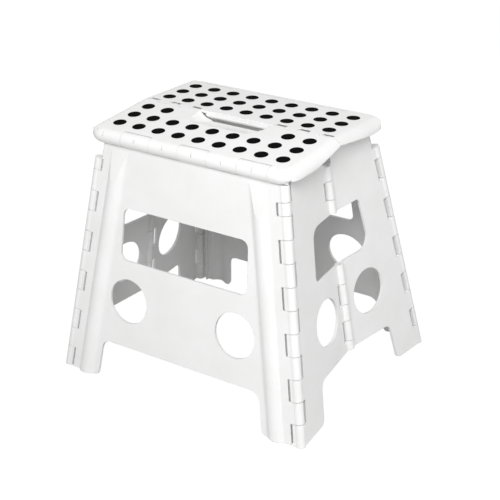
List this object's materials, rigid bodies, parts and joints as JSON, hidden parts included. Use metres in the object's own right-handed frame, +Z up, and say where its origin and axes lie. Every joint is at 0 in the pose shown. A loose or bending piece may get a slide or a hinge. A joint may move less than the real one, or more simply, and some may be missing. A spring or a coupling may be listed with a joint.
{
  "type": "folding step stool",
  "caption": "Folding step stool of moulded plastic: leaning panels on knuckle hinges, a two-leaf seat with grip dots and a scooped handle that lifts to fold it flat.",
  "frame": {"origin": "on the floor under the middle of the seat", "axes": "+Z up, X along the seat's fold line, -Y towards the front panel, which is the half with the scooped handle"},
  "size_m": [0.3614, 0.2986, 0.32],
  "materials": {
    "white_plastic": "fine satin, moulded",
    "rubber_dots": "soft, matte",
    "steel_rod": "drawn rod"
  },
  "bodies": {
    "front_panel": {"front_panel": "white_plastic", "corner_pin_front_left": "steel_rod", "corner_pin_front_right": "steel_rod", "edge_pin_front": "steel_rod"},
    "right_front_side": {"side_right_front": "white_plastic", "side_pin_right_lower": "steel_rod", "side_pin_right_upper": "steel_rod"},
    "right_back_side": {"side_right_back": "white_plastic"},
    "back_panel": {"back_panel": "white_plastic", "corner_pin_back_left": "steel_rod", "corner_pin_back_right": "steel_rod", "edge_pin_back": "steel_rod"},
    "left_front_side": {"side_left_front": "white_plastic"},
    "left_back_side": {"side_left_back": "white_plastic", "side_pin_left_lower": "steel_rod", "side_pin_left_upper": "steel_rod"},
    "front_seat": {"seat_front": "white_plastic", "grip_dots_front": "rubber_dots", "fold_pin_left": "steel_rod", "fold_pin_right": "steel_rod"},
    "back_seat": {"seat_back": "white_plastic", "grip_dots_back": "rubber_dots"}
  },
  "joints": [
    {"name": "fold", "type": "hinge", "parent": "front_panel", "child": "right_front_side", "pos_m": [0.1746, -0.139, 0], "axis": [-0.1515, 0.1509, 0.9769], "range_deg": [0, 78]},
    {"name": "right_side_fold", "type": "hinge", "parent": "right_front_side", "child": "right_back_side", "pos_m": [0.16439, 0, 0], "axis": [0.1423, 0, -0.9898], "range_deg": [0, 153.64]},
    {"name": "right_back_corner", "type": "hinge", "parent": "right_back_side", "child": "back_panel", "pos_m": [0.1746, 0.139, 0], "axis": [-0.1515, -0.1509, 0.9769], "range_deg": [0, 78.1]},
    {"name": "left_front_corner", "type": "hinge", "parent": "front_panel", "child": "left_front_side", "pos_m": [-0.1746, -0.139, 0], "axis": [-0.1515, -0.1509, -0.9769], "range_deg": [0, 78.1]},
    {"name": "left_back_corner", "type": "hinge", "parent": "back_panel", "child": "left_back_side", "pos_m": [-0.1746, 0.139, 0], "axis": [0.1515, -0.1509, 0.9769], "range_deg": [0, 78.1]},
    {"name": "front_edge", "type": "hinge", "parent": "front_panel", "child": "front_seat", "pos_m": [0, -0.0954, 0.30579], "axis": [1, 0, 0], "range_deg": [0, 71.47]},
    {"name": "back_edge", "type": "hinge", "parent": "back_panel", "child": "back_seat", "pos_m": [0, 0.0954, 0.30579], "axis": [-1, 0, 0], "range_deg": [0, 71.47]}
  ],
  "couplings": [
    {"joint": "right_side_fold", "follows": "fold", "ratio": 1.9685},
    {"joint": "right_back_corner", "follows": "fold", "ratio": 1},
    {"joint": "left_front_corner", "follows": "fold", "ratio": 1},
    {"joint": "left_back_corner", "follows": "fold", "ratio": 1},
    {"joint": "front_edge", "follows": "fold", "ratio": 0.915},
    {"joint": "back_edge", "follows": "fold", "ratio": 0.915}
  ]
}
